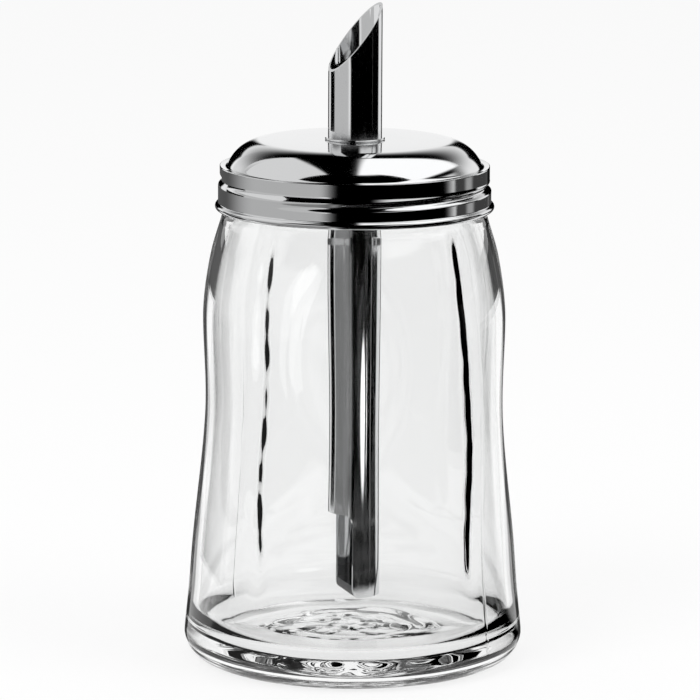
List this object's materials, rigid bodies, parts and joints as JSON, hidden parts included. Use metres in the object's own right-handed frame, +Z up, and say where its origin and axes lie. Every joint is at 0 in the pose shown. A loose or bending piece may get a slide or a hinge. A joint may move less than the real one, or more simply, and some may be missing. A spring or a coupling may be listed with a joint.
{
  "type": "sugar dispenser",
  "caption": "Waisted glass sugar jar with a steel screw cap, a pour tube that reaches the floor, a slanted spout and a small gravity flap in its throat.",
  "frame": {"origin": "middle of the jar's foot, on the plane that it stands on", "axes": "+Z up along the jar's axis; the four grip panels face +X, +Y, -X and -Y; the spout's tip points 17 degrees from +X towards +Y"},
  "size_m": [0.0776, 0.0776, 0.15],
  "materials": {
    "clear_glass": "clear, fire polished",
    "polished_steel": "polished stainless steel",
    "plain_steel": "plain stainless steel",
    "seal": "soft white plastic",
    "plug": "black plastic"
  },
  "bodies": {
    "jar": {"glass_jar": "clear_glass"},
    "seal": {"seal_ring": "seal"},
    "cap": {"screw_cap": "polished_steel", "tube_collar": "polished_steel", "tube_washer": "plain_steel", "pour_tube": "polished_steel", "dosing_plug": "plug", "flap_pin": "plain_steel"},
    "flap": {"spout_flap": "polished_steel"}
  },
  "joints": [
    {"name": "cap_rise", "type": "slide", "parent": "jar", "child": "seal", "axis": [0, 0, 1], "range_m": [0, 0.00282]},
    {"name": "cap_turn", "type": "hinge", "parent": "seal", "child": "cap", "pos_m": [0, 0, 0.11315], "axis": [0, 0, 1], "range_deg": [0, 350]},
    {"name": "flap_swing", "type": "hinge", "parent": "cap", "child": "flap", "pos_m": [-0.00373, -0.00114, 0.13262], "axis": [0.2924, -0.9563, 0], "range_deg": [0, 38]}
  ],
  "couplings": [
    {"joint": "cap_turn", "follows": "cap_rise", "rad_per_m": 2166.6}
  ]
}
